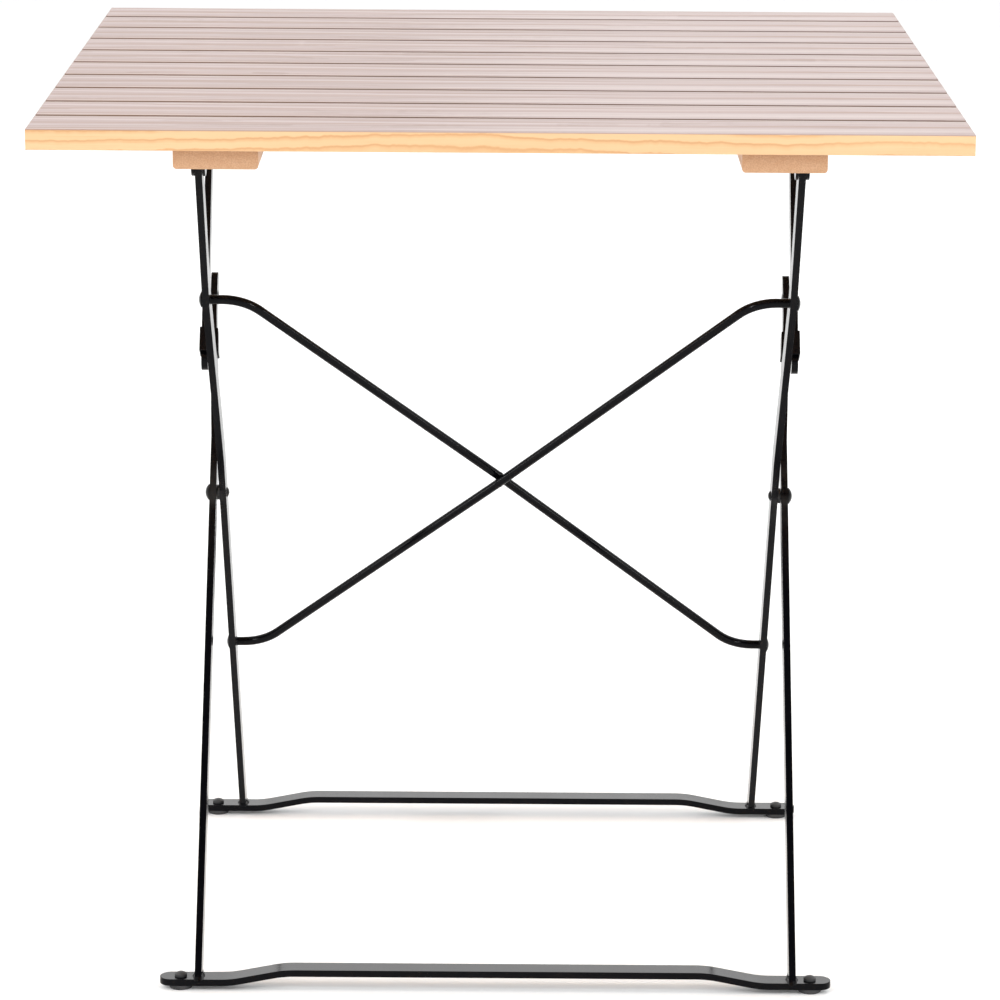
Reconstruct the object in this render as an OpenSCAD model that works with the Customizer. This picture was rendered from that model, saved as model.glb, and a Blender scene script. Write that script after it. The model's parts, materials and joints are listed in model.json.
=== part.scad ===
// Folding picnic table: a square slatted top on two battens, carried by two crossed frames of flat steel bar.
// X runs along the slats, Y from the front edge to the rear edge, Z up. The origin is on the ground under the
// middle of the top. "Left" is -X. The rear frame stands on the rear foot bar and is hinged under the front of
// the top; the front frame stands on the front foot bar and carries the rear of the top through two struts.

/* [Tabletop] */
// Length of the slats, which is the width of the top
top_w = 750; // [700:1:800]
// Depth of the top, across the slats
top_d = 750; // [720:1:800]
// Height of the top face above the ground
table_h = 766; // [755:0.5:780]
// Number of slats
slat_count = 10; // [10]
// Gap between two slats
slat_gap = 4; // [2:0.5:5]
// How much narrower the rearmost slat is than the others
rear_slat_trim = 9; // [0:0.5:12]
// Thickness of a slat
slat_t = 16.5; // [15:0.5:18]
// Radius of the slats' long edges
slat_edge_r = 1.2; // [0.8:0.1:2]

/* [Battens] */
// Width of a batten
batten_w = 68; // [60:1:72]
// Thickness of a batten
batten_t = 17; // [15:0.5:18]
// Length of a batten, front to rear
batten_len = 718; // [680:1:730]
// Distance of a batten's middle from the middle of the table
batten_x = 226; // [222:1:228]
// Radius of the battens' long edges
batten_edge_r = 3; // [1:0.5:5]

/* [Wood screws] */
// Radius of a wood screw's shank
wood_screw_r = 1.75; // [1.5:0.05:2]
// Radius of a wood screw's countersunk head
wood_screw_head_r = 3.8; // [3.5:0.1:4.2]
// How far the wood screws reach into a slat
wood_screw_bite = 11; // [8:0.5:13]

/* [Bars] */
// Width of the legs and struts, seen from the side
bar_w = 20; // [19:0.5:25]
// Thickness of the legs, struts and foot bars
bar_t = 6; // [4:0.5:6]
// Height of the scissor pivot above the ground
pivot_h = 380; // [372:0.5:385]
// Distance of a foot bar's middle from the middle of the table
foot_y = 241; // [235:1:250]
// Position of the rear legs in X, from the feet to just above the pivot
rear_leg_x = 246.5; // [246:0.1:247]
// How far the rear legs are sprung outward by the cross rods
rear_leg_bow = 4; // [3:0.5:4.5]
// Position of the front legs in X, from the feet to just above the pivot
front_leg_x = 255.5; // [255:0.1:256]
// How far the front legs are set outward at their top ends
front_leg_set = 4.5; // [4:0.1:5]
// Distance along a front leg from the scissor pivot to the strut knuckle
knuckle_s = 190; // [188:0.5:202]
// Length of a strut's tail below the knuckle, to the centre of its round end
tail_len = 60; // [58:1:70]
// How far the centre of a front leg's round top end lies beyond the knuckle
leg_past_knuckle = 12; // [0:0.5:15]

/* [Foot bars] */
// Length of a foot bar
foot_len = 578; // [570:1:590]
// Width of a foot bar, front to rear
foot_w = 20; // [19:0.5:24]
// Rise of the middle stretch of a foot bar
foot_rise = 9; // [6:0.5:11]
// Height of a glide, under the foot bar
glide_h = 4; // [3:0.5:5]
// Radius of a glide
glide_r = 10; // [9:0.5:10.5]
// Distance of a glide from the tip of the foot bar
glide_inset = 18; // [16:0.5:20]

/* [Cross rods] */
// Radius of the cross rods
rod_r = 4; // [3.5:0.25:4]
// Bend radius of the cross rods, at the middle of the rod
rod_bend_r = 45; // [30:1:55]
// Distance along a rear leg from the scissor pivot up to the upper rod ends
rod_up_s = 241; // [236:1:245]
// Distance along a rear leg from the scissor pivot down to the lower rod ends
rod_down_s = 203; // [198:1:208]
// Distance of the rods' corner points from the middle of the table
rod_corner_x = 218; // [214:1:222]

/* [Fits] */
// Radial clearance of a rivet or bolt in its hole
fit = 0.05; // [0.03:0.01:0.1]
// Gap between faces that move past each other
face_gap = 0.3; // [0.2:0.05:0.5]
// Gap between a front leg and the stop on the strut's tail
stop_gap = 1; // [0.5:0.5:10]

/* [Hidden] */
$fn = 48;

steel = [0.03, 0.03, 0.035];
pad_black = [0.08, 0.08, 0.085];
slat_wood = [0.86, 0.72, 0.56];
batten_wood = [0.80, 0.62, 0.45];
zinc = [0.6, 0.6, 0.6];

sides = [-1, 1];
slat_pitch = (top_d + slat_gap + rear_slat_trim) / slat_count;
slat_under = table_h - slat_t;
batten_under = slat_under - batten_t;

// A countersunk wood screw joins each slat to each batten near both long edges of the slat.
screw_edge = 26;
screw_stagger = 10;
wood_screw_head_h = 3;

// Pins and rivets
hinge_r = 4;
rivet_r = 3;
plate_t = 2.5;
hinge_drop = 16.5;
hinge_z = batten_under - hinge_drop;

// Side view of the crossed frames. Both lean by the same angle, the rear legs forward and the front legs back.
foot_bar_under = glide_h;
foot_bar_top = foot_bar_under + bar_t;
lean = atan(foot_y / (pivot_h - foot_bar_top));
leg_down_s = (pivot_h - foot_bar_top) / cos(lean);
rear_leg_s = (hinge_z - pivot_h) / cos(lean);
top_hinge_y = -rear_leg_s * sin(lean);

// The struts' length and top hinge are those at which the four bars between the top hinge, the pivot, the
// knuckle and the strut hinge all fold onto one line.
reach = (rear_leg_s + knuckle_s) * sin(lean);
rest_gap = rear_leg_s - knuckle_s;
hinge_span = 2 * pow(sin(lean), 2) * rear_leg_s * knuckle_s / (reach - rest_gap);
strut_len = hinge_span - rest_gap;
strut_hinge_y = top_hinge_y + hinge_span;
knuckle_y = knuckle_s * sin(lean);
knuckle_z = pivot_h + knuckle_s * cos(lean);
strut_lean = atan((strut_hinge_y - knuckle_y) / (hinge_z - knuckle_z));

// Each flat bar is a list of [distance along the leg, X] points of its middle plane.
bow_start_s = 50;
rear_leg_line = [[-leg_down_s - bar_w, rear_leg_x], [bow_start_s, rear_leg_x],
    [rod_up_s, rear_leg_x + rear_leg_bow], [rear_leg_s + bar_w, rear_leg_x + rear_leg_bow - 1]];
rear_leg_top_x = rear_leg_x + rear_leg_bow - 1;
front_leg_line = [[-leg_down_s - bar_w, front_leg_x], [bow_start_s, front_leg_x],
    [knuckle_s - bar_w, front_leg_x + front_leg_set], [knuckle_s + 2 * bar_w, front_leg_x + front_leg_set]];
front_leg_top_x = front_leg_x + front_leg_set;
strut_x = front_leg_top_x + bar_t + 1.5;

// The rods end on the middle lines of the legs and are bent apart where they cross.
rod_offset = rod_r + 0.3;
rod_lump_r = rod_r + 0.2;
rod_lump_inset = 1;
rod_tenon_r = 2;
rod_overlap = 0.5;
rod_swell = 0.06;
nut_r = 6.8;
nut_rim = 1.6;
nut_h = 3.6;
low_nut_r = 6.6;
low_nut_rim = 0.8;
low_nut_h = 2.8;

// Stop: an angle fixed to the strut's tail, whose short leg stands in front of the front leg, and a wear plate
// riveted to the inner face of the front leg at the same height.
stop_t = 1.2;
stop_h = 23;
stop_s = 143;
stop_web_x = 257.6;
stop_rivet_r = 2;

module for_side(side) {
    if (side > 0) children(); else mirror([1, 0, 0]) children();
}

// Rounded rectangle centred on the origin
module rounded_rect(w, h, r) {
    square([w - 2 * r, h], center = true);
    square([w, h - 2 * r], center = true);
    for (x = sides, y = sides) translate([x * (w / 2 - r), y * (h / 2 - r)]) circle(r);
}

// Round pin along X, from x0 to x1
module pin_x(r, x0, x1) {
    translate([x0, 0, 0]) rotate([0, 90, 0]) cylinder(r = r, h = x1 - x0);
}

// Low domed head of radius r and height h, standing on z = 0
module dome(r, h) {
    ball_r = (r * r + h * h) / (2 * h);
    rotate_extrude() intersection() {
        square([r, h]);
        translate([0, h - ball_r]) circle(ball_r, $fn = 180);
    }
}

// Low domed head on a face at x = 0, standing out in the direction of X
module dome_x(r, h) {
    rotate([0, 90, 0]) dome(r, h);
}

// Head with a straight rim and a domed face, standing out from x = 0
module button_x(r, rim, h) {
    pin_x(r, 0, rim);
    translate([rim, 0, 0]) dome_x(r, h - rim);
}

// Extrudes a side view drawn in [y, z] along X, from x0 to x1
module side_plate(x0, x1) {
    translate([x0, 0, 0]) rotate([90, 0, 90]) linear_extrude(x1 - x0) children();
}

// Flat bar whose middle plane follows a line of [distance, x] points, as long as the side view given as a child
module bent_bar(line) {
    inner = [for (p = line) [p[1] - bar_t / 2, p[0]]];
    outer = [for (i = [len(line) - 1:-1:0]) [line[i][1] + bar_t / 2, line[i][0]]];
    intersection() {
        rotate([90, 0, 0]) linear_extrude(bar_w, center = true) polygon(concat(inner, outer));
        side_plate(front_leg_x - bar_w, front_leg_x + bar_w) children();
    }
}

// Side view of a bar of width bar_w from z0 to z1, with a round end centred at z1
module round_end_bar(z0, z1) {
    translate([-bar_w / 2, z0]) square([bar_w, z1 - z0]);
    translate([0, z1]) circle(bar_w / 2);
}

module at_pivot(angle) {
    translate([0, 0, pivot_h]) rotate([angle, 0, 0]) children();
}

module at_knuckle() {
    translate([0, knuckle_y, knuckle_z]) children();
}

// ---- Tabletop ----

function slat_w(i) = slat_pitch - slat_gap - (i == slat_count - 1 ? rear_slat_trim : 0);

function slat_y(i) = -top_d / 2 + slat_pitch * i + slat_w(i) / 2;

// Places a child at each screw of one batten, at the batten's lower face
module at_slat_screws(side, from = 0, to = slat_count - 1) {
    for (i = [from:to], end = sides)
        translate([side * batten_x + end * screw_stagger, slat_y(i) + end * (slat_w(i) / 2 - screw_edge),
            batten_under]) children();
}

module wood_screw(extra = 0) {
    cylinder(r1 = wood_screw_head_r + extra, r2 = wood_screw_r + extra, h = wood_screw_head_h);
    translate([0, 0, wood_screw_head_h])
        cylinder(r = wood_screw_r + extra, h = batten_t - wood_screw_head_h + wood_screw_bite + extra);
}

module slat(i) {
    color(slat_wood) difference() {
        translate([0, slat_y(i), slat_under + slat_t / 2])
            rotate([90, 0, 90]) linear_extrude(top_w, center = true)
                rounded_rect(slat_w(i), slat_t, slat_edge_r);
        for (side = sides) at_slat_screws(side, i, i) wood_screw(fit);
    }
}

module batten(side) {
    color(batten_wood) difference() {
        translate([side * batten_x, 0, batten_under + batten_t / 2])
            rotate([90, 0, 0]) linear_extrude(batten_len, center = true)
                rounded_rect(batten_w, batten_t, batten_edge_r);
        at_slat_screws(side) wood_screw(fit);
        for (y = bracket_screw_ys) translate([side * bracket_screw_x(y), y, batten_under])
            cylinder(r = bracket_screw_r + fit, h = bracket_screw_bite + fit);
    }
}

module slat_screws(side) {
    color(zinc) at_slat_screws(side) wood_screw();
}

// ---- Brackets under the battens ----

ear_r = 12.5;
bracket_len = 62;
bracket_w = 18;
bracket_screw_r = 2;
bracket_screw_bite = 12;
bracket_head_r = 3.9;
bracket_head_h = 2.2;
bracket_screw_dy = 23;
strut_ear_x = strut_x - bar_t / 2 - 1;
strut_base_x = batten_x + 4;
bracket_screw_ys = [top_hinge_y - bracket_screw_dy, top_hinge_y + bracket_screw_dy,
    strut_hinge_y - bracket_screw_dy, strut_hinge_y + bracket_screw_dy];
function bracket_screw_x(y) = y < 0 ? rear_leg_top_x : batten_x + 18;

module bracket_screw_holes(y) {
    for (dy = [-bracket_screw_dy, bracket_screw_dy])
        translate([bracket_screw_x(y), y + dy, batten_under - plate_t - 1])
            cylinder(r = bracket_screw_r + fit, h = plate_t + 2);
}

// Side view of an ear that hangs from the batten and is round about its pin
module ear() {
    translate([-ear_r, 0]) square([2 * ear_r, hinge_drop]);
    circle(ear_r);
}

// Clevis that holds the top end of a rear leg between its two ears
module top_bracket(side) {
    ear_in = bar_t / 2 + face_gap;
    color(steel) for_side(side) difference() {
        union() {
            translate([rear_leg_top_x - bracket_w / 2, top_hinge_y - bracket_len / 2, batten_under - plate_t])
                cube([bracket_w, bracket_len, plate_t]);
            for (s = sides) translate([rear_leg_top_x + s * (ear_in + plate_t / 2), top_hinge_y, hinge_z])
                side_plate(-plate_t / 2, plate_t / 2) ear();
        }
        translate([rear_leg_top_x, top_hinge_y, hinge_z]) pin_x(hinge_r + fit, -bracket_w, bracket_w);
        bracket_screw_holes(top_hinge_y);
    }
}

// Angle whose ear stands outside the batten and carries the strut on its outer face
module strut_bracket(side) {
    color(steel) for_side(side) difference() {
        union() {
            translate([strut_base_x, strut_hinge_y - bracket_len / 2, batten_under - plate_t])
                cube([strut_ear_x - strut_base_x, bracket_len, plate_t]);
            translate([0, strut_hinge_y, hinge_z]) side_plate(strut_ear_x - plate_t, strut_ear_x) ear();
        }
        translate([0, strut_hinge_y, hinge_z]) pin_x(rivet_r + fit, batten_x, strut_x);
        bracket_screw_holes(strut_hinge_y);
    }
}

module bracket_screws() {
    color(zinc) for (side = sides, y = bracket_screw_ys)
        translate([side * bracket_screw_x(y), y, batten_under - plate_t]) {
            cylinder(r = bracket_screw_r, h = plate_t + bracket_screw_bite);
            mirror([0, 0, 1]) dome(bracket_head_r, bracket_head_h);
        }
}

module top_hinge_pin(side) {
    outer = bar_t / 2 + face_gap + plate_t;
    head_h = 2;
    color(steel) for_side(side) translate([rear_leg_top_x, top_hinge_y, hinge_z]) {
        pin_x(hinge_r, -outer, outer);
        translate([outer, 0, 0]) dome_x(hinge_r + 2.5, head_h);
        mirror([1, 0, 0]) translate([outer, 0, 0]) dome_x(hinge_r + 2.5, head_h);
    }
}

// ---- Rear frame ----

module rear_leg(side) {
    color(steel) for_side(side) intersection() {
        at_pivot(lean) difference() {
            bent_bar(rear_leg_line) round_end_bar(-leg_down_s - bar_w, rear_leg_s);
            pin_x(pivot_r + fit, rear_leg_x - bar_w, rear_leg_x + bar_w);
            translate([0, 0, rear_leg_s]) pin_x(hinge_r + fit, rear_leg_x - bar_w, rear_leg_x + bar_w);
            for (s = [rod_up_s, -rod_down_s]) translate([0, 0, s])
                pin_x(rod_tenon_r + fit, rear_leg_x - bar_w, rear_leg_x + bar_w);
        }
        above_foot_bar();
    }
}

// Everything above the top face of the foot bars, where the legs are cut off level
module above_foot_bar() {
    translate([-top_w, -top_d, foot_bar_top]) cube([2 * top_w, 2 * top_d, table_h]);
}

joggle_out_x = 228;
joggle_in_x = 182;
joggle_round = 9;
joggle_steps = 5;

// Points of a curve that leaves a straight line at a, nears the corner p and joins the next straight line at b
function rounded_corner(a, p, b) = [for (i = [0:joggle_steps]) let (t = i / joggle_steps)
    pow(1 - t, 2) * a + 2 * t * (1 - t) * p + pow(t, 2) * b];

// Under edge of the left half of a foot bar, seen from the front
function foot_under_left() = let (
        low = [-joggle_out_x, 0],
        high = [-joggle_in_x, foot_rise],
        ramp = (high - low) * joggle_round / norm(high - low),
        level = [joggle_round, 0])
    concat([[-foot_len / 2, 0]], rounded_corner(low - level, low, low + ramp),
        rounded_corner(high - ramp, high, high + level));

// Foot bar in its own frame, with its under face at z = 0. Its middle stretch is raised off the ground.
module foot_bar() {
    tip = foot_len / 2;
    left = foot_under_left();
    under = concat(left, [for (i = [len(left) - 1:-1:0]) [-left[i][0], left[i][1]]]);
    upper = [for (i = [len(under) - 1:-1:0]) under[i] + [0, bar_t]];
    color(steel) difference() {
        intersection() {
            rotate([90, 0, 0]) linear_extrude(foot_w, center = true) polygon(concat(under, upper));
            linear_extrude(foot_rise + bar_t) {
                square([foot_len - foot_w, foot_w], center = true);
                for (x = sides) translate([x * (foot_len - foot_w) / 2, 0]) circle(foot_w / 2);
            }
        }
        for (x = sides) translate([x * (tip - glide_inset), 0, -1]) cylinder(r = rivet_r + fit, h = bar_t + 2);
    }
}

module at_foot(y) {
    translate([0, y, foot_bar_under]) children();
}

module at_glides(y) {
    for (x = sides) translate([x * (foot_len / 2 - glide_inset), y, 0]) children();
}

// Pads under the foot bar, with a rounded lower edge and a blind hole for their rivet
module glides(y) {
    edge = 1;
    color(pad_black) at_glides(y) difference() {
        rotate_extrude() {
            square([glide_r - edge, glide_h]);
            translate([0, edge]) square([glide_r, glide_h - edge]);
            translate([glide_r - edge, edge]) circle(edge);
        }
        translate([0, 0, glide_h / 2]) cylinder(r = rivet_r + fit, h = glide_h);
    }
}

module glide_rivets(y) {
    head_r = 5.3;
    head_rim = 2;
    head_h = 4;
    color(pad_black) at_glides(y) {
        translate([0, 0, glide_h / 2 + fit]) cylinder(r = rivet_r, h = glide_h / 2 + bar_t - fit);
        translate([0, 0, foot_bar_top]) rotate([0, -90, 0]) button_x(head_r, head_rim, head_h);
    }
}

// One rod with a level stretch at each end and two bends, from the upper end on the +X leg to the lower end on
// the -X leg, drawn in the plane of the rear legs
module cross_rod(side) {
    end_x = rear_leg_x - bar_t / 2;
    color(steel) for_side(side) at_pivot(lean) {
        translate([rod_corner_x, 0, rod_up_s])
            half_rod(end_x + rear_leg_bow - rod_corner_x, nut_rim, side);
        translate([-rod_corner_x, 0, -rod_down_s]) rotate([0, 180, 0])
            half_rod(end_x - rod_corner_x, low_nut_rim, side);
        translate([0, -side * rod_offset, (rod_up_s - rod_down_s) / 2]) sphere(rod_lump_r);
    }
}

// Half of a rod, from its level end at +X round the corner at the origin to just short of the lump at its
// middle. The straight stretches run a little way into the bend.
module half_rod(end_x, tenon, side) {
    rise = rod_up_s + rod_down_s;
    turn = atan(rise / (2 * rod_corner_x));
    tangent = rod_bend_r * tan(turn / 2);
    run = sqrt(pow(rod_corner_x, 2) + pow(rise / 2, 2)) - tangent;
    aside = atan(rod_offset / run);
    pin_x(rod_r, tangent - rod_overlap, end_x);
    pin_x(rod_tenon_r, tangent, end_x + bar_t + tenon);
    rod_bend(turn, tangent);
    rotate([0, -turn, 0]) translate([-tangent, 0, 0]) rotate([0, 0, side * aside])
        pin_x(rod_r, rod_lump_inset - run / cos(aside), rod_overlap);
}

// Bend at a corner: the rod arrives from +X and leaves towards -X, turned down by the given angle. Bending has
// left it a touch fatter than the straight stretches.
module rod_bend(turn, tangent) {
    translate([tangent, 0, -rod_bend_r]) rotate([90, 0, 0]) rotate([0, 0, 90])
        rotate_extrude(angle = turn, $fn = 96)
            translate([rod_bend_r, 0]) circle(rod_r + rod_swell, $fn = 32);
}

module rod_nut(r, rim, h) {
    difference() {
        button_x(r, rim, h);
        pin_x(rod_tenon_r + fit, -1, rim + fit);
    }
}

module rod_nuts(side) {
    color(steel) for_side(side) at_pivot(lean) {
        translate([rear_leg_x + rear_leg_bow + bar_t / 2, 0, rod_up_s]) rod_nut(nut_r, nut_rim, nut_h);
        translate([rear_leg_x + bar_t / 2, 0, -rod_down_s]) rod_nut(low_nut_r, low_nut_rim, low_nut_h);
    }
}

pivot_r = 3.5;
pivot_head_r = 7.2;
pivot_head_h = 4;
pivot_end_r = 4.8;
pivot_end_h = 2.2;
pivot_washer_r = 6.8;

module pivot_bolt(side) {
    inner = rear_leg_x - bar_t / 2;
    outer = front_leg_x + bar_t / 2 + face_gap;
    color(steel) for_side(side) translate([0, 0, pivot_h]) {
        pin_x(pivot_r, inner, outer);
        translate([outer, 0, 0]) button_x(pivot_head_r, 1, pivot_head_h);
        translate([inner, 0, 0]) mirror([1, 0, 0]) dome_x(pivot_end_r, pivot_end_h);
    }
}

module pivot_washers() {
    inner = rear_leg_x + bar_t / 2;
    outer = front_leg_x - bar_t / 2 - face_gap;
    color(steel) for (side = sides) for_side(side) translate([0, 0, pivot_h]) difference() {
        pin_x(pivot_washer_r, inner, outer);
        pin_x(pivot_r + fit, inner - 1, outer + 1);
    }
}

// ---- Front frame ----

module front_leg(side) {
    color(steel) for_side(side) intersection() {
        at_pivot(-lean) difference() {
            bent_bar(front_leg_line) round_end_bar(-leg_down_s - bar_w, knuckle_s + leg_past_knuckle);
            pin_x(pivot_r + fit, front_leg_x - bar_w, front_leg_x + bar_w);
            translate([0, 0, knuckle_s]) pin_x(knuckle_r + fit, front_leg_x - bar_w, front_leg_x + bar_w);
            translate([0, 0, stop_s]) pin_x(stop_rivet_r + fit, front_leg_x - bar_w, front_leg_x + bar_w);
        }
        above_foot_bar();
    }
}

// The knuckle is the pivot at which the folding linkage is opened. Its rivet ends just short of the strut.
knuckle_rivet_end = strut_x - bar_t / 2 - face_gap;
knuckle_r = 2.5;
knuckle_washer_r = 3.6;

module knuckle_washers() {
    color(steel) for (side = sides) for_side(side) at_knuckle() difference() {
        pin_x(knuckle_washer_r, front_leg_top_x + bar_t / 2, knuckle_rivet_end);
        pin_x(knuckle_r + fit, front_leg_top_x, strut_x);
    }
}

module knuckle_rivets() {
    head_h = 1;
    color(steel) for (side = sides) for_side(side) at_knuckle() {
        pin_x(knuckle_r, front_leg_top_x - bar_t / 2, knuckle_rivet_end);
        translate([front_leg_top_x - bar_t / 2, 0, 0]) mirror([1, 0, 0]) dome_x(knuckle_r + 2.5, head_h);
    }
}

// ---- Struts ----

module strut(side) {
    color(steel) for_side(side) at_knuckle() rotate([-strut_lean, 0, 0]) difference() {
        side_plate(strut_x - bar_t / 2, strut_x + bar_t / 2) {
            round_end_bar(-tail_len, strut_len);
            translate([0, -tail_len]) circle(bar_w / 2);
        }
        translate([0, 0, strut_len]) pin_x(rivet_r + fit, strut_x - bar_t, strut_x + bar_t);
        pin_x(rivet_r + fit, strut_x - bar_t, strut_x + bar_t);
    }
}

module strut_pin(side) {
    inner = strut_ear_x - plate_t;
    outer = strut_x + bar_t / 2 + face_gap;
    color(steel) for_side(side) translate([0, strut_hinge_y, hinge_z]) {
        pin_x(rivet_r, inner, outer);
        translate([outer, 0, 0]) dome_x(rivet_r + 3, 2);
        translate([inner, 0, 0]) mirror([1, 0, 0]) dome_x(rivet_r + 2, 1.2);
    }
}

// Flush rivet that closes the knuckle hole in a strut
module tail_rivet(side) {
    color(steel) for_side(side) at_knuckle() pin_x(rivet_r, strut_x - bar_t / 2, strut_x + bar_t / 2);
}

module stop_angle(side) {
    outer_x = strut_x + bar_t / 2;
    web_y = -bar_w / 2 - stop_gap - stop_t;
    color(steel) for_side(side) at_pivot(-lean) translate([0, 0, stop_s - stop_h / 2]) linear_extrude(stop_h) {
        translate([outer_x, web_y]) square([stop_t, bar_w - 3]);
        translate([stop_web_x, web_y]) square([outer_x - stop_web_x + stop_t, stop_t]);
    }
}

// X of a front leg's inner face at a distance along the leg, between the pivot and the knuckle
function front_leg_inner(s) = front_leg_x - bar_t / 2
    + front_leg_set * (s - bow_start_s) / (knuckle_s - bar_w - bow_start_s);

module wear_plate(side) {
    half_w = bar_w / 2 - 1;
    low_s = stop_s - stop_h / 2;
    tilt = atan(front_leg_inner(1) - front_leg_inner(0));
    color(steel) for_side(side) at_pivot(-lean) difference() {
        translate([front_leg_inner(low_s), 0, low_s]) rotate([0, tilt, 0])
            translate([-stop_t, -half_w, 0]) cube([stop_t, 2 * half_w, stop_h]);
        translate([0, 0, stop_s]) pin_x(stop_rivet_r + fit, rear_leg_x, strut_x);
    }
}

module wear_plate_rivets() {
    inner = front_leg_inner(stop_s) - stop_t;
    color(steel) for (side = sides) for_side(side) at_pivot(-lean) translate([0, 0, stop_s])
        pin_x(stop_rivet_r, inner, inner + stop_t + bar_t);
}

slat(0);  // slat_1
slat(1);  // slat_2
slat(2);  // slat_3
slat(3);  // slat_4
slat(4);  // slat_5
slat(5);  // slat_6
slat(6);  // slat_7
slat(7);  // slat_8
slat(8);  // slat_9
slat(9);  // slat_10
batten(-1);  // batten_left
batten(1);  // batten_right
slat_screws(-1);  // slat_screws_left
slat_screws(1);  // slat_screws_right
top_bracket(-1);  // top_bracket_left
top_bracket(1);  // top_bracket_right
strut_bracket(-1);  // strut_bracket_left
strut_bracket(1);  // strut_bracket_right
bracket_screws();
top_hinge_pin(-1);  // top_hinge_pin_left
top_hinge_pin(1);  // top_hinge_pin_right
rear_leg(-1);  // rear_leg_left
rear_leg(1);  // rear_leg_right
at_foot(foot_y) foot_bar();  // rear_foot_bar
glides(foot_y);  // rear_glides
glide_rivets(foot_y);  // rear_glide_rivets
cross_rod(-1);  // cross_rod_left_up
cross_rod(1);  // cross_rod_right_up
rod_nuts(-1);  // rod_nuts_left
rod_nuts(1);  // rod_nuts_right
pivot_bolt(-1);  // pivot_bolt_left
pivot_bolt(1);  // pivot_bolt_right
pivot_washers();
front_leg(-1);  // front_leg_left
front_leg(1);  // front_leg_right
at_foot(-foot_y) foot_bar();  // front_foot_bar
glides(-foot_y);  // front_glides
glide_rivets(-foot_y);  // front_glide_rivets
knuckle_washers();
knuckle_rivets();
strut(-1);  // strut_left
strut(1);  // strut_right
strut_pin(-1);  // strut_pin_left
strut_pin(1);  // strut_pin_right
tail_rivet(-1);  // tail_rivet_left
tail_rivet(1);  // tail_rivet_right
stop_angle(-1);  // stop_angle_left
wear_plate(-1);  // wear_plate_left
stop_angle(1);  // stop_angle_right
wear_plate(1);  // wear_plate_right
wear_plate_rivets();
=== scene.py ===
import json
import math
import random

import bmesh
import bpy
from mathutils import Matrix, Vector


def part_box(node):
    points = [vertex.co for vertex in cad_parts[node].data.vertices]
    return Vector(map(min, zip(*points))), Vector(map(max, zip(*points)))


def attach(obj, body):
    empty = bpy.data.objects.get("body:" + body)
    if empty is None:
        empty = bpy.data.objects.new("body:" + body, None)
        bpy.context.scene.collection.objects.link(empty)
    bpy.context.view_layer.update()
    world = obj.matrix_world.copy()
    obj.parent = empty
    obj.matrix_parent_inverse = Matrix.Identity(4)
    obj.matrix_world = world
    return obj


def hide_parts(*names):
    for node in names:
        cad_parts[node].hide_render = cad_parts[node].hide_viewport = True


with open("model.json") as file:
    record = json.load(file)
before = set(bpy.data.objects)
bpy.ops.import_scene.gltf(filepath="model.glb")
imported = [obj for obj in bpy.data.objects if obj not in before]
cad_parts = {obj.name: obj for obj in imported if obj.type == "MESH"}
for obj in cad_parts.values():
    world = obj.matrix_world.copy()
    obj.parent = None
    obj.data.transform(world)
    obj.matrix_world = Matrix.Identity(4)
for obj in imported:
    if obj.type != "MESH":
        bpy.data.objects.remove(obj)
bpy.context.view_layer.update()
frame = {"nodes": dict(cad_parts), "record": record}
nodes = frame["nodes"]
bodies_of = {n: b for b, names in frame["record"]["behaviour"]["bodies"].items() for n in names}


# Depth of the fine relief on every material, in metres
FINE = 0.0002
# Vertices closer than this are one, in metres
MERGE = 1e-6
# The colour sockets of a Mix node
MIX_A, MIX_B, MIX_OUT = 6, 7, 2


# ---------------------------------------------------------------- node helpers

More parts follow.
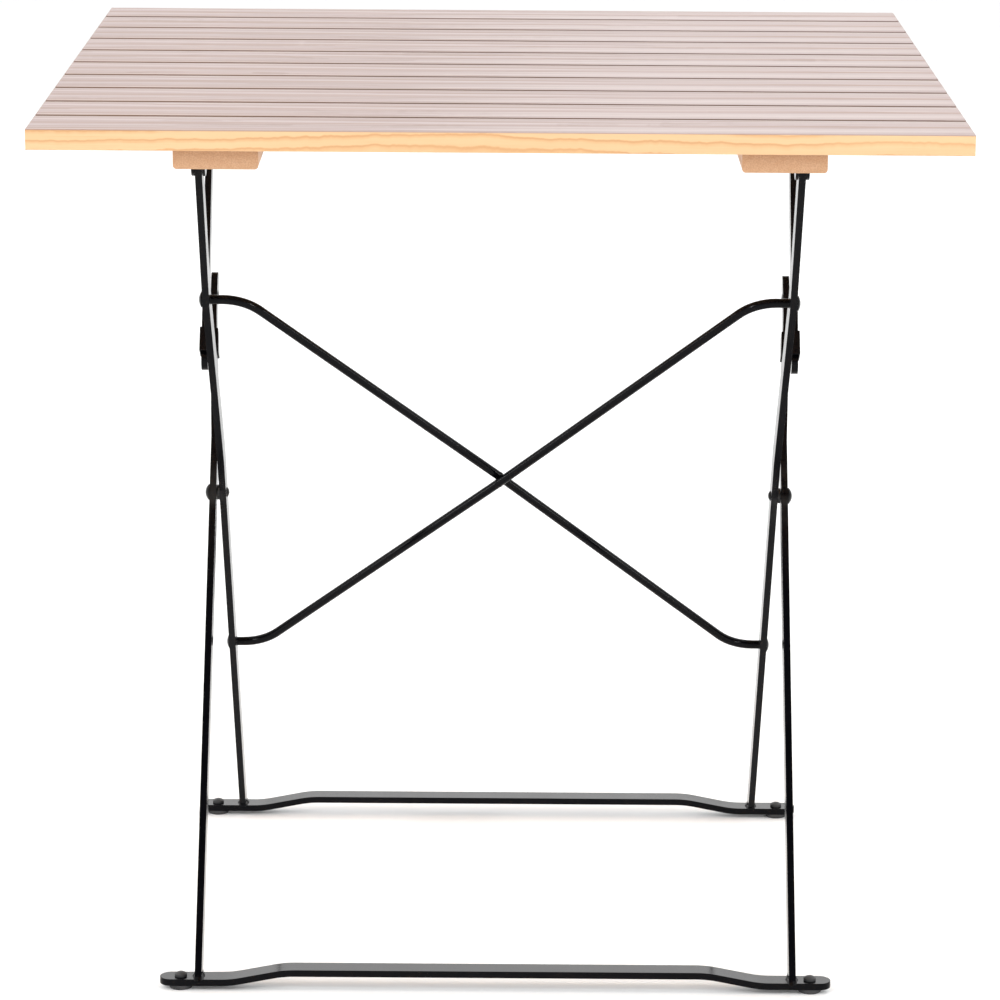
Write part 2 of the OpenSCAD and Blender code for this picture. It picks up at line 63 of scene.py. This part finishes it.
class Tree:
    """The node tree of a material or a world, with short calls for the nodes it uses."""

    def __init__(self, name, kind="materials"):
        self.mat = getattr(bpy.data, kind).new(name)
        self.mat.use_nodes = True
        self.nt = self.mat.node_tree
        if kind == "materials":
            self.shader = self.nt.nodes["Principled BSDF"]
            self.co = self.new("ShaderNodeTexCoord").outputs["Object"]

    def new(self, kind, **props):
        node = self.nt.nodes.new(kind)
        for key, value in props.items():
            setattr(node, key, value)
        return node

    def link(self, out, sock):
        """Joins an output to a socket, or sets the socket to a plain value."""
        if hasattr(out, "is_output"):
            self.nt.links.new(out, sock)
        else:
            sock.default_value = out

    def math(self, op, a, b=0.0, clamp=False):
        node = self.new("ShaderNodeMath", operation=op, use_clamp=clamp)
        self.link(a, node.inputs[0])
        self.link(b, node.inputs[1])
        return node.outputs[0]

    def vec(self, op, a, b=(0, 0, 0)):
        node = self.new("ShaderNodeVectorMath", operation=op)
        self.link(a, node.inputs[0])
        self.link(b, node.inputs[1])
        return node.outputs["Value" if op == "LENGTH" else "Vector"]

    def split(self, v):
        node = self.new("ShaderNodeSeparateXYZ")
        self.link(v, node.inputs[0])
        return node.outputs

    def join(self, x, y, z):
        node = self.new("ShaderNodeCombineXYZ")
        for value, sock in zip((x, y, z), node.inputs):
            self.link(value, sock)
        return node.outputs[0]

    def scaled(self, x, y, z, factors):
        """The vector x, y, z with each part multiplied by its own factor."""
        return self.join(*(self.math("MULTIPLY", v, k) for v, k in zip((x, y, z), factors)))

    def noise(self, v, scale, detail=3.0, rough=0.5):
        node = self.new("ShaderNodeTexNoise")
        self.link(v, node.inputs["Vector"])
        node.inputs["Scale"].default_value = scale
        node.inputs["Detail"].default_value = detail
        node.inputs["Roughness"].default_value = rough
        return node.outputs["Fac"]

    def ramp(self, fac, *stops):
        """A curve through stops of (position, grey value)."""
        node = self.new("ShaderNodeValToRGB")
        self.link(fac, node.inputs[0])
        el = node.color_ramp.elements
        while len(el) < len(stops):
            el.new(0.5)
        for e, (pos, grey) in zip(el, stops):
            e.position = pos
            e.color = (grey, grey, grey, 1)
        return node.outputs[0]

    def mix(self, fac, a, b):
        node = self.new("ShaderNodeMix", data_type="RGBA")
        self.link(fac, node.inputs[0])
        for value, sock in ((a, node.inputs[MIX_A]), (b, node.inputs[MIX_B])):
            if isinstance(value, tuple):
                sock.default_value = (*value, 1)
            else:
                self.link(value, sock)
        return node.outputs[MIX_OUT]

    def bump(self, height, strength, distance=FINE):
        node = self.new("ShaderNodeBump")
        self.link(height, node.inputs["Height"])
        node.inputs["Strength"].default_value = strength
        node.inputs["Distance"].default_value = distance
        return node.outputs[0]

    def put(self, **inputs):
        """Links the shader's inputs, named with _ for a space, and gives back the material."""
        for key, value in inputs.items():
            self.link(value, self.shader.inputs[key.replace("_", " ")])
        return self.mat


def lerp(a, b, t):
    """The colour a share t of the way from a to b."""
    return tuple(x + (y - x) * t for x, y in zip(a, b))


# ---------------------------------------------------------------- wood

# Early and late wood, and what they lean to on the rosier battens
EARLY = (0.69, 0.45, 0.25)
LATE = (0.50, 0.245, 0.092)
ROSE_EARLY = (0.54, 0.345, 0.225)
ROSE_LATE = (0.42, 0.235, 0.13)
# The upper faces, paler and pinker partly in their own colour and partly as painted sheen, with their paler
# and warmer bands
TOP_EARLY = (0.345, 0.25, 0.23)
TOP_LATE = (0.225, 0.14, 0.108)
TOP_PALE = (0.48, 0.40, 0.385)
TOP_WARM = (0.33, 0.20, 0.145)
# Painted shade on the sides that face a gap, where the shade between the slats falls
GAP_SHADE = (0.055, 0.026, 0.016)
# Lengths in metres: how wide a warm rim runs along the long edges, and where it is full
RIM_START, RIM_FULL = 0.006, 0.0005
# Width of one growth ring, thinnest and widest
RING = (0.0056, 0.0074)


def growth_rings(t, rnd, x, y, z, shift):
    """Growth rings as shells round a pith that sways and slants. Gives how far each point is into late wood,
    from 0 to 1."""
    run = t.vec("ADD", t.scaled(x, y, z, (2.2, 12.0, 12.0)), tuple(shift))
    sway_y = t.math("MULTIPLY", t.math("SUBTRACT", t.noise(run, 1.3, 1.5), 0.5), 0.028)
    aside = t.vec("ADD", run, (31, 7, 3))
    sway_z = t.math("MULTIPLY", t.math("SUBTRACT", t.noise(aside, 1.6, 2.0), 0.5), 0.026)
    pith_y = rnd.choice((-1, 1)) * rnd.uniform(0.004, 0.030)
    pith_z = -rnd.uniform(0.030, 0.060)
    slant = t.math("MULTIPLY", x, rnd.choice((-1, 1)) * rnd.uniform(0.006, 0.016))
    ry = t.math("ADD", t.math("SUBTRACT", y, pith_y), t.math("ADD", sway_y, slant))
    rz = t.math("ADD", t.math("SUBTRACT", z, pith_z), t.math("ADD", sway_z, slant))
    radius = t.vec("LENGTH", t.join(0.0, ry, rz))
    ripple = t.noise(t.join(t.math("MULTIPLY", x, 9.0), ry, rz), 9, 2.0)
    phase = t.math("ADD", t.math("DIVIDE", radius, rnd.uniform(*RING)), t.math("MULTIPLY", ripple, 0.5))
    saw = t.math("FRACT", phase)
    ring = t.math("FLOOR", phase)
    late = t.ramp(saw, (0.0, 0.0), (0.50, 0.05), (0.72, 0.45), (0.86, 1.0), (0.94, 0.8), (1.0, 0.0))
    weight = t.noise(t.join(ring, shift[0], shift[1]), 3.7, 0.0)
    return t.math("MULTIPLY", late, t.ramp(weight, (0.30, 0.50), (0.60, 1.0)))


def wood(name, middle, half, along, seed, tone, shaded_sides=(), rose=0.0):
    """Softwood sawn round a pith that runs along X or Y, so that the face shows long grain lines, the edge
    fine ones and the ends arcs. The upper face is paler and pinker than the edges, partly in its own colour
    and partly as a painted sheen, and the long sides that face a gap, given by the sign of their normal, carry
    painted shade. half is half the piece's width, tone makes it darker or brighter from 0 to
    1, and rose makes it pinker from 0 to 1."""
    rnd = random.Random(seed)
    t = Tree(name)
    local = t.vec("SUBTRACT", t.co, tuple(middle))
    x, y, z = t.split(local)
    if along == "Y":
        x, y = y, x
    shift = [rnd.uniform(0, 90) for _ in range(3)]
    late = growth_rings(t, rnd, x, y, z, shift)

    fibre = t.noise(t.scaled(x, y, z, (16.0, 1100.0, 1100.0)), 1.0, 4.0, 0.65)
    streak = t.noise(t.scaled(x, y, z, (2.6, 140.0, 90.0)), 1.0, 4.0, 0.62)
    band = t.noise(t.scaled(x, y, z, (1.1, 34.0, 20.0)), 1.0, 2.0)
    speck = t.noise(local, 900.0, 2.0, 0.6)
    blotch = t.noise(local, 170.0, 2.0)
    pores = t.ramp(fibre, (0.26, 1.0), (0.42, 0.0))

    normal = t.new("ShaderNodeNewGeometry").outputs["Normal"]
    turned = t.new("ShaderNodeVectorTransform", vector_type="NORMAL", convert_from="WORLD",
                   convert_to="OBJECT")
    t.link(normal, turned.inputs[0])
    nx, ny, nz = t.split(turned.outputs[0])
    upper = t.ramp(nz, (0.35, 0.0), (0.85, 1.0))
    end = t.ramp(t.math("ABSOLUTE", ny if along == "Y" else nx), (0.6, 0.0), (0.9, 1.0))

    # edges and underside
    bright = 0.93 + 0.12 * tone
    early = tuple(c * bright for c in lerp(EARLY, ROSE_EARLY, rose))
    dark = lerp(LATE, ROSE_LATE, rose)
    col = t.mix(late, early, dark)
    col = t.mix(t.ramp(streak, (0.42, 0.0), (0.78, 0.45)), col, lerp(early, dark, 0.55))
    col = t.mix(t.ramp(band, (0.48, 0.0), (0.66, 0.6)), col, tuple(min(1.0, c * 1.12) for c in early))

    # upper face, paler and pinker partly in its own colour and partly as painted sheen
    top = t.mix(t.math("MULTIPLY", late, 0.50), tuple(c * bright for c in TOP_EARLY), TOP_LATE)
    top = t.mix(t.ramp(streak, (0.34, 0.75), (0.50, 0.0)), top, TOP_LATE)
    top = t.mix(t.ramp(streak, (0.52, 0.0), (0.68, 0.7)), top, TOP_PALE)
    top = t.mix(t.ramp(band, (0.50, 0.0), (0.70, 0.6)), top, TOP_PALE)
    top = t.mix(t.ramp(band, (0.28, 0.55), (0.46, 0.0)), top, TOP_WARM)
    rim = t.ramp(t.math("ABSOLUTE", y), (half - RIM_START, 0.0), (half - RIM_FULL, 1.0))
    top = t.mix(t.math("MULTIPLY", rim, t.ramp(band, (0.35, 0.75), (0.6, 0.1))), top, TOP_WARM)
    col = t.mix(upper, col, top)
    col = t.mix(t.math("MULTIPLY", pores, 0.30), col, lerp(dark, LATE, 0.5))

    # end grain
    end_col = t.mix(t.math("MULTIPLY", late, 0.22), lerp(early, dark, 0.25), dark)
    end_col = t.mix(t.ramp(speck, (0.38, 0.55), (0.58, 0.0)), end_col, tuple(c * 0.78 for c in dark))
    end_col = t.mix(t.ramp(blotch, (0.40, 0.25), (0.62, 0.0)), end_col, dark)
    col = t.mix(end, col, end_col)

    # painted shade on the sides that face a gap
    for sign in shaded_sides:
        side = t.ramp(t.math("MULTIPLY", ny, float(sign)), (0.12, 0.0), (0.55, 1.0))
        gap_shade = t.math("MULTIPLY", side, t.math("ADD", 0.55, t.math("MULTIPLY", streak, 0.6)), clamp=True)
        col = t.mix(gap_shade, col, GAP_SHADE)

    rough = t.math("ADD", 0.42, t.math("MULTIPLY", fibre, 0.20))
    rough = t.math("ADD", rough, t.math("MULTIPLY", end, 0.25))
    height = t.math("SUBTRACT", t.math("MULTIPLY", late, 0.5), t.math("MULTIPLY", pores, 0.6))
    height = t.math("ADD", height, t.math("MULTIPLY", t.math("MULTIPLY", end, speck), 1.2))
    t.shader.inputs["Specular IOR Level"].default_value = 0.30
    return t.put(Base_Color=col, Roughness=rough, Normal=t.bump(height, 0.35))


# ---------------------------------------------------------------- metal and plastic

# Powder coat: its two blacks, the scuffs on it and the rubbed spots
COAT_DEEP = (0.0010, 0.0010, 0.0016)
COAT_HAZE = (0.0022, 0.0021, 0.0032)
COAT_SCUFF = (0.016, 0.016, 0.018)
COAT_RUBBED = (0.05, 0.049, 0.047)
BAR_ROUGH, ROD_ROUGH = 0.17, 0.13


def powder_coat(name, rough, worn=()):
    """Black powder coat: a fine orange peel, a faint haze, scuffs, and grey rubbing round worn, a list of
    (point, reach)."""
    t = Tree(name)
    peel = t.noise(t.co, 700.0, 2.0, 0.45)
    broad = t.noise(t.co, 38.0, 3.0, 0.6)
    scuff_v = t.vec("MULTIPLY", t.co, (1.0, 0.35, 0.35))
    scuff = t.ramp(t.noise(scuff_v, 420.0, 4.0, 0.7), (0.63, 0.0), (0.78, 1.0))
    col = t.mix(t.ramp(broad, (0.3, 0.0), (0.75, 1.0)), COAT_DEEP, COAT_HAZE)
    col = t.mix(t.math("MULTIPLY", scuff, 0.20), col, COAT_SCUFF)
    for point, reach in worn:
        near = t.vec("LENGTH", t.vec("SUBTRACT", t.co, tuple(point)))
        near = t.math("SUBTRACT", 1.0, t.math("DIVIDE", near, reach), clamp=True)
        rub = t.math("MULTIPLY", near, t.ramp(broad, (0.42, 0.0), (0.62, 1.0)))
        col = t.mix(t.math("MULTIPLY", rub, 0.5), col, COAT_RUBBED)
    r = t.math("ADD", rough, t.math("MULTIPLY", t.math("SUBTRACT", broad, 0.5), 0.12))
    r = t.math("ADD", r, t.math("MULTIPLY", scuff, 0.15))
    t.shader.inputs["Specular IOR Level"].default_value = 0.09
    return t.put(Base_Color=col, Roughness=r, Normal=t.bump(peel, 0.10))


ZINC_DULL = (0.47, 0.45, 0.40)
ZINC_BRIGHT = (0.68, 0.66, 0.60)


def zinc(name):
    """Zinc-plated steel: a dull bright metal with a faint yellow cast and cloudy roughness."""
    t = Tree(name)
    cloud = t.noise(t.co, 260.0, 4.0, 0.6)
    col = t.mix(cloud, ZINC_DULL, ZINC_BRIGHT)
    rough = t.math("ADD", 0.25, t.math("MULTIPLY", cloud, 0.3))
    t.shader.inputs["Metallic"].default_value = 1.0
    return t.put(Base_Color=col, Roughness=rough, Normal=t.bump(cloud, 0.1))


GLIDE_BLACK, GLIDE_ROUGH = (0.018, 0.018, 0.019), 0.48
WASHER_BLACK, WASHER_ROUGH = (0.03, 0.03, 0.03), 0.38
# How much brighter the clouds in a plastic are than its colour
CLOUD = 2.2


def plastic(name, col, rough):
    """Moulded black plastic with a fine spark-eroded grain and faint clouds."""
    t = Tree(name)
    grain = t.noise(t.co, 1500.0, 2.0, 0.6)
    cloud = t.noise(t.co, 90.0, 3.0, 0.6)
    c = t.mix(t.ramp(cloud, (0.35, 0.0), (0.8, 1.0)), col, tuple(v * CLOUD for v in col))
    r = t.math("ADD", rough, t.math("MULTIPLY", cloud, 0.15))
    return t.put(Base_Color=c, Roughness=r, Normal=t.bump(grain, 0.25))


# ---------------------------------------------------------------- mesh helpers

def plain_copy(node):
    """The CAD node's shape as a clean mesh: joined vertices and flat faces without needless edges."""
    bm = bmesh.new()
    bm.from_mesh(nodes[node].data)
    bmesh.ops.remove_doubles(bm, verts=bm.verts, dist=MERGE)
    bmesh.ops.dissolve_limit(bm, angle_limit=math.radians(0.5), verts=bm.verts, edges=bm.edges)
    mesh = bpy.data.meshes.new(node + "_shape")
    bm.to_mesh(mesh)
    bm.free()
    return mesh


def show(name, data):
    """A new object in the scene, at the origin."""
    obj = bpy.data.objects.new(name, data)
    bpy.context.scene.collection.objects.link(obj)
    return obj


def add(name, mesh, body, mat):
    """A new piece that rides on a body and takes its finish from a slot."""
    obj = show(name, mesh)
    obj.data.materials.clear()
    obj.data.materials.append(mat)
    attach(obj, body)
    return obj


def shade_smooth(obj, angle):
    """Smooth shading, with the edges sharper than angle, in degrees, left sharp."""
    for p in obj.data.polygons:
        p.use_smooth = True
    bm = bmesh.new()
    bm.from_mesh(obj.data)
    for e in bm.edges:
        e.smooth = len(e.link_faces) == 2 and e.calc_face_angle(0) < math.radians(angle)
    bm.to_mesh(obj.data)
    bm.free()


def eased(node, mat, width, segments=3, angle=30):
    """A copy of a CAD node, shown in its place, with the edges sharper than angle rounded to width."""
    obj = add(node + "_shaped", plain_copy(node), bodies_of[node], mat)
    shade_smooth(obj, angle)
    mod = obj.modifiers.new("edge", "BEVEL")
    mod.width = width
    mod.segments = segments
    mod.limit_method = "ANGLE"
    mod.angle_limit = math.radians(angle)
    mod.harden_normals = True
    mod.use_clamp_overlap = True
    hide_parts(node)


def finish_node(node, mat):
    """Gives a CAD node that is shown as it is its material."""
    for s in nodes[node].material_slots:
        s.material = mat


# ---------------------------------------------------------------- materials on the CAD nodes

def centre(node):
    lo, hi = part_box(node)
    return (lo + hi) / 2


def half_width(node, axis):
    lo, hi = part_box(node)
    return getattr(hi - lo, axis) / 2


slats = ["slat_%d" % (i + 1) for i in range(10)]
tones = [0.55, 0.80, 0.60, 0.35, 0.85, 0.45, 0.65, 0.30, 0.75, 0.90]
SLAT_SEED, BATTEN_SEED = 11, 71
BATTEN_TONE, BATTEN_ROSE = 0.4, 0.8
for i, name in enumerate(slats):
    # every side of a slat that faces a neighbour gets painted shade
    shaded_sides = ([] if i == 0 else [-1]) + ([] if i == len(slats) - 1 else [1])
    finish_node(name, wood(name + "_wood", centre(name), half_width(name, "y"), "X", SLAT_SEED + i, tones[i],
                           shaded_sides))
for i, name in enumerate(("batten_left", "batten_right")):
    finish_node(name, wood(name + "_wood", centre(name), half_width(name, "x"), "Y", BATTEN_SEED + i,
                           BATTEN_TONE, rose=BATTEN_ROSE))

# the coat is rubbed round the two pivots of the crossed legs
PIVOT_X, WORN_REACH = 0.25, 0.035
pivot = next(j for j in frame["record"]["behaviour"]["joints"] if j["name"] == "fold")["pos_m"]
worn = [((s * PIVOT_X, *pivot[1:]), WORN_REACH) for s in (-1, 1)]
coat = powder_coat("frame_coat", BAR_ROUGH, worn)
rod_coat = powder_coat("rod_coat", ROD_ROUGH)
zinc_mat = zinc("screw_zinc")
pad_mat = plastic("glide_black", GLIDE_BLACK, GLIDE_ROUGH)
nylon = plastic("washer_black", WASHER_BLACK, WASHER_ROUGH)

for name in nodes:
    if name in slats or name.startswith("batten"):
        continue
    if "screws" in name:
        finish_node(name, zinc_mat)
    elif "glide" in name:
        finish_node(name, pad_mat)
    elif name.startswith(("cross_rod", "rod_nuts")):
        finish_node(name, rod_coat)
    elif "washers" in name:
        finish_node(name, nylon)
    else:
        finish_node(name, coat)

# Radii of the rounded edges, in metres
LEG_EDGE, FOOT_EDGE = 0.0014, 0.0012
ANGLE_EDGE, PLATE_EDGE, BRACKET_EDGE = 0.0005, 0.0004, 0.0006
BAR_SEGMENTS = 4
for side in ("left", "right"):
    for part in ("rear_leg", "front_leg", "strut"):
        eased("%s_%s" % (part, side), coat, LEG_EDGE, BAR_SEGMENTS)
    eased("stop_angle_" + side, coat, ANGLE_EDGE)
    eased("wear_plate_" + side, coat, PLATE_EDGE)
    eased("top_bracket_" + side, coat, BRACKET_EDGE)
    eased("strut_bracket_" + side, coat, BRACKET_EDGE)
for part in ("rear_foot_bar", "front_foot_bar"):
    eased(part, coat, FOOT_EDGE, BAR_SEGMENTS)


# ---------------------------------------------------------------- screw heads

def islands(node):
    """The separate pieces of a CAD node, each as its lowest and highest corner, in the order of those, because
    a set of vertices has an order of its own in each run."""
    bm = bmesh.new()
    bm.from_mesh(nodes[node].data)
    bmesh.ops.remove_doubles(bm, verts=bm.verts, dist=MERGE)
    left, found = set(bm.verts), []
    while left:
        stack, piece = [left.pop()], []
        while stack:
            v = stack.pop()
            piece.append(v.co.copy())
            for e in v.link_edges:
                w = e.other_vert(v)
                if w in left:
                    left.discard(w)
                    stack.append(w)
        found.append([Vector(f(p[i] for p in piece) for i in range(3)) for f in (min, max)])
    bm.free()
    return sorted(found, key=lambda corners: tuple(corners[0]))


# Cross recess, as shares of the head's radius: length of an arm, half its width, depth, and how it tapers
CROSS_ARM, CROSS_HALF, CROSS_DEPTH, CROSS_TAPER = 0.56, 0.15, 0.42, 0.72
# Rings on the head, as shares of its radius, and vertices in a ring
HEAD_RINGS = (0.74, 0.9)
RING_STEPS = 28


def add_screw(bm, lo, hi, rim, rise, shank, turn):
    """A screw that points up, with a cross recess in its head. Its head is a dome of height rise that ends at
    the radius rim, and the shank is a list of (radius, height above the rim)."""
    cx, cy, z0 = (lo.x + hi.x) / 2, (lo.y + hi.y) / 2, lo.z + rise
    arm, half = rim * CROSS_ARM, rim * CROSS_HALF

    def vert(x, y, z=None):
        """A vertex at x, y from the screw's axis, on the dome if no height is given."""
        if z is None:
            z = z0 - rise * (1 - (x * x + y * y) / rim ** 2)
        c, s = math.cos(turn), math.sin(turn)
        return bm.verts.new((cx + c * x - s * y, cy + s * x + c * y, z))

    def close(loop):
        return [bm.edges.get(pair) or bm.edges.new(pair) for pair in zip(loop, loop[1:] + loop[:1])]

    def strip(a, b):
        n = len(a)
        for k in range(n):
            bm.faces.new((a[k], a[(k + 1) % n], b[(k + 1) % n], b[k]))

    points = []
    for q in range(4):
        c, s = (1, 0, -1, 0)[q], (0, 1, 0, -1)[q]
        for x, y in ((half, -half), (arm, -half), (arm, half)):
            points.append((c * x - s * y, s * x + c * y))
    mouth = [vert(x, y) for x, y in points]
    recess_z = z0 - rise + rim * CROSS_DEPTH
    deep = [vert(x * CROSS_TAPER, y * CROSS_TAPER, recess_z) for x, y in points]
    strip(deep, mouth)
    bm.faces.new(deep)
    levels = [(rim * share, None) for share in HEAD_RINGS] + [(rim, z0)] + [(r, z0 + h) for r, h in shank]
    angles = [2 * math.pi * k / RING_STEPS for k in range(RING_STEPS)]
    rings = [[vert(r * math.cos(a), r * math.sin(a), z) for a in angles] for r, z in levels]
    bmesh.ops.triangle_fill(bm, edges=close(mouth) + close(rings[0]), use_beauty=True)
    for a, b in zip(rings, rings[1:]):
        strip(a, b)
    bm.faces.new(rings[-1])


def screws(node, rim, rise, radius, neck):
    """Replaces a CAD node of screws in the top. Their shanks start at radius at the height neck."""
    rnd = random.Random(len(node))
    bm = bmesh.new()
    for lo, hi in islands(node):
        shank = [(radius, neck), (radius, hi.z - lo.z - rise)]
        add_screw(bm, lo, hi, rim, rise, shank, rnd.uniform(0, 1.5))
    bmesh.ops.recalc_face_normals(bm, faces=bm.faces)
    mesh = bpy.data.meshes.new(node + "_heads")
    bm.to_mesh(mesh)
    bm.free()
    obj = add(node + "_shaped", mesh, "tabletop", zinc_mat)
    shade_smooth(obj, 40)
    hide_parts(node)


for side in ("left", "right"):
    screws("slat_screws_" + side, rim=0.0038, rise=0.0, radius=0.00175, neck=0.003)
screws("bracket_screws", rim=0.0039, rise=0.0022, radius=0.002, neck=0.0)


# ---------------------------------------------------------------- weld beads

def bead(name, verts, steps, rows, flip, body, mat):
    """A closed strip of steps by rows faces, from (rows + 1) vertices at each step."""
    faces = []
    for k in range(steps):
        for j in range(rows):
            p, q = k * (rows + 1) + j, ((k + 1) % steps) * (rows + 1) + j
            faces.append((p, p + 1, q + 1, q) if flip else (p, q, q + 1, p + 1))
    mesh = bpy.data.meshes.new(name)
    mesh.from_pydata(verts, [], faces)
    shade_smooth(add(name, mesh, body, mat), 80)


def weld_bead(name, body, x, y, z, half_x, half_y, lean, seed):
    """A bead round the foot of a leg: a closed strip that climbs from the foot bar to the leg, rippled by the
    torch and leaning with the leg. The leg's section is a rounded oblong of half_x by half_y."""
    rnd = random.Random(seed)
    reach, climb, lift, sink = 0.0021, 0.0026, 0.0003, 0.0004
    squareness = 5.0
    steps, rows = 72, 6
    outline = []
    for k in range(steps):
        a = 2 * math.pi * k / steps
        c, s = math.cos(a), math.sin(a)
        r = (abs(c / half_x) ** squareness + abs(s / half_y) ** squareness) ** (-1 / squareness)
        outline.append((r * c, r * s, c, s))
    verts = []
    for k, (ox, oy, c, s) in enumerate(outline):
        swell = 1 + 0.10 * math.sin(k * 1.9 + seed) + rnd.uniform(-0.05, 0.05)
        for j in range(rows + 1):
            u = j / rows * math.pi / 2
            out = reach * swell * (1 - math.sin(u)) ** 0.8 + (lift if j < rows else -sink)
            up = climb * swell * math.sin(u) ** 1.1 * (0.75 + 0.25 * math.sin(u))
            verts.append((x + (ox + c * out), y + (oy + s * out) + math.tan(lean) * up, z + up))
    bead(name, verts, steps, rows, False, body, coat)


# Vertices this close to a leg's lowest one are the outline of its foot
FOOT_LEVEL = 1e-5
for side, sx in (("left", -1), ("right", 1)):
    for part, body, seed in (("rear", "rear_frame", 3), ("front", "front_frame", 5)):
        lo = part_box("%s_leg_%s" % (part, side))[0]
        leg = nodes["%s_leg_%s" % (part, side)].data
        low = [v.co for v in leg.vertices if v.co.z < lo.z + FOOT_LEVEL]
        xs, ys = [v.x for v in low], [v.y for v in low]
        lean = math.atan2(pivot[1] - centre(part + "_foot_bar").y, pivot[2] - lo.z)
        weld_bead("weld_%s_%s" % (part, side), body, (min(xs) + max(xs)) / 2, (min(ys) + max(ys)) / 2, lo.z,
                  (max(xs) - min(xs)) / 2, (max(ys) - min(ys)) / 2, lean, seed + sx)


def rod_collar(name, lo, hi, inward):
    """A bead round a rod where it meets the inner face of a leg, on the far side of the leg from its nut. lo
    and hi are the nut's corners, bar is the leg's thickness and rod the rod's radius."""
    bar, rod, reach, sink, dip = 0.006, 0.004, 0.0016, 0.0002, 0.0001
    cy, cz = (lo.y + hi.y) / 2, (lo.z + hi.z) / 2
    face = (lo.x if inward < 0 else hi.x) + inward * bar
    rnd = random.Random(name)
    steps, rows = 40, 5
    verts = []
    for k in range(steps):
        a = 2 * math.pi * k / steps
        swell = 1 + rnd.uniform(-0.12, 0.12)
        for j in range(rows + 1):
            u = math.pi / 2 * j / rows
            r = rod - sink + reach * swell * (1 - math.sin(u))
            x = face + inward * (reach * swell * (1 - math.cos(u)) - dip)
            verts.append((x, cy + r * math.cos(a), cz + r * math.sin(a)))
    bead(name, verts, steps, rows, inward > 0, "rear_frame", rod_coat)


for side, inward in (("left", 1), ("right", -1)):
    for lo, hi in islands("rod_nuts_" + side):
        rod_collar("collar_%s_%s" % (side, "up" if lo.z > pivot[2] else "low"), lo, hi, inward)

# ---------------------------------------------------------------- stage

FAR = 40
FLOOR_DULL, FLOOR_PALE = (0.94, 0.94, 0.94), (0.97, 0.97, 0.97)
WORLD_STRENGTH = 1.30
floor_mesh = bpy.data.meshes.new("floor")
floor_mesh.from_pydata([(-FAR, -FAR, 0), (FAR, -FAR, 0), (FAR, FAR, 0), (-FAR, FAR, 0)], [], [(0, 1, 2, 3)])
floor = show("floor", floor_mesh)
ft = Tree("floor_pale")
grit = ft.noise(ft.co, 60.0, 3.0)
floor_mesh.materials.append(ft.put(Base_Color=ft.mix(grit, FLOOR_DULL, FLOOR_PALE),
                                   Roughness=ft.math("ADD", 0.8, ft.math("MULTIPLY", grit, 0.1))))

# a pale room that is darker high up on the side of the table's front, for the steel to reflect
wt = Tree("studio", "worlds")
_, sky_y, sky_z = wt.split(wt.new("ShaderNodeTexCoord").outputs["Generated"])
ahead = wt.ramp(wt.math("MULTIPLY", sky_y, -1.0), (0.15, 0.0), (0.55, 1.0))
above = wt.ramp(sky_z, (0.20, 0.0), (0.50, 1.0))
dusk = wt.math("MULTIPLY", ahead, above)
background = wt.nt.nodes["Background"]
wt.link(wt.ramp(dusk, (0.0, 1.0), (1.0, 0.10)), background.inputs["Color"])
background.inputs["Strength"].default_value = WORLD_STRENGTH
bpy.context.scene.world = wt.mat
bpy.context.scene.view_settings.view_transform = "Standard"


def area(name, place, target, size, power):
    """A rectangular lamp at place that points at target. Its size is in metres and its power in watts."""
    lamp = bpy.data.lights.new(name, "AREA")
    lamp.shape = "RECTANGLE"
    lamp.size, lamp.size_y = size
    lamp.energy = power
    obj = show(name, lamp)
    obj.location = place
    obj.rotation_euler = (Vector(target) - Vector(place)).to_track_quat("-Z", "Y").to_euler()


area("key", (-2.0, -2.6, 2.3), (0, 0, 0.5), (0.10, 1.6), 50)
area("fill", (2.3, -2.3, 1.9), (0, 0, 0.4), (0.10, 1.6), 36)
area("right", (3.0, -0.6, 1.2), (0, 0, 0.5), (0.3, 1.6), 24)
area("left", (-3.0, -0.6, 1.2), (0, 0, 0.5), (0.3, 1.6), 24)
area("back", (0, 4.2, 1.9), (0, 0, 0.5), (5.0, 1.6), 45)

# ---------------------------------------------------------------- camera

# Focal length as a share of the picture's width, angles in radians, place in metres
FOCAL = 4.231
YAW, PITCH, ROLL = -0.0010, 0.2435, 0.0065
PLACE = (0.004875, -3.6816, 1.2890)
SENSOR = 36
fwd = Vector((math.sin(YAW) * math.cos(PITCH), math.cos(YAW) * math.cos(PITCH), -math.sin(PITCH)))
right = Vector((math.cos(YAW), -math.sin(YAW), 0))
up = right.cross(fwd)
rolled_right = math.cos(ROLL) * right + math.sin(ROLL) * up
rolled_up = -math.sin(ROLL) * right + math.cos(ROLL) * up
cam = bpy.data.cameras.new("camera")
cam.sensor_width = SENSOR
cam.lens = FOCAL * SENSOR
cam_obj = show("camera", cam)
turn = Matrix((rolled_right, rolled_up, -fwd)).transposed()
cam_obj.matrix_world = Matrix.Translation(PLACE) @ turn.to_4x4()
bpy.context.scene.camera = cam_obj
